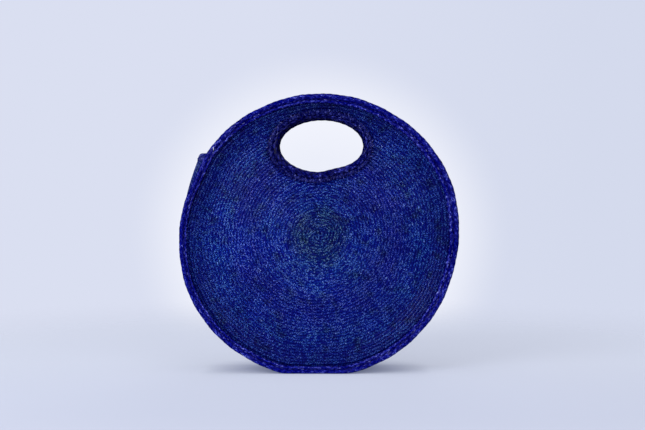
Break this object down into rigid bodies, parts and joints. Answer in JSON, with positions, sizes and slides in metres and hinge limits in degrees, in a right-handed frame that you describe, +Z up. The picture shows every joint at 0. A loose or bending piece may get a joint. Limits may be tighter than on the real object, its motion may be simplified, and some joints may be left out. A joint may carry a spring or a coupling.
{
  "type": "palm leaf bag",
  "caption": "Round free-standing palm leaf handbag: two spiral-sewn discs with oval hand holes, a gusset strip between them and plaited edgings.",
  "frame": {"origin": "under the middle of the bag, on the surface that it stands on", "axes": "+Z up, +X across the bag, the front face looks along -Y"},
  "size_m": [0.3258, 0.0758, 0.3269],
  "materials": {
    "palm_rows": "dyed dark blue palm braid, sewn in rows, dull with a faint sheen",
    "rim_plait": "dyed violet blue plaited palm leaf, slight sheen",
    "edge_plait": "dyed purplish blue plaited palm leaf, slight sheen",
    "gusset_rows": "dyed blue palm braid in parallel rows, dull"
  },
  "bodies": {
    "bag_body": {"front_face": "palm_rows", "back_face": "palm_rows", "gusset": "gusset_rows", "gusset_hem_left": "edge_plait", "gusset_hem_right": "edge_plait", "front_rim_binding": "rim_plait", "back_rim_binding": "rim_plait", "front_hole_lip": "edge_plait", "back_hole_lip": "edge_plait", "front_hole_border": "edge_plait", "back_hole_border": "edge_plait"},
    "front_handle": {"front_handle_arch": "palm_rows", "front_handle_rim_binding": "rim_plait", "front_handle_hole_lip": "edge_plait", "front_handle_hole_border": "edge_plait"},
    "back_handle": {"back_handle_arch": "palm_rows", "back_handle_rim_binding": "rim_plait", "back_handle_hole_lip": "edge_plait", "back_handle_hole_border": "edge_plait"}
  },
  "joints": [
    {"name": "front_handle_bend", "type": "hinge", "parent": "bag_body", "child": "front_handle", "pos_m": [0, -0.03235, 0.2593], "axis": [-1, 0, 0], "range_deg": [-26, 26], "stiffness_Nm_per_rad": 0.3},
    {"name": "back_handle_bend", "type": "hinge", "parent": "bag_body", "child": "back_handle", "pos_m": [0, 0.03235, 0.2593], "axis": [1, 0, 0], "range_deg": [-26, 26], "stiffness_Nm_per_rad": 0.3}
  ]
}
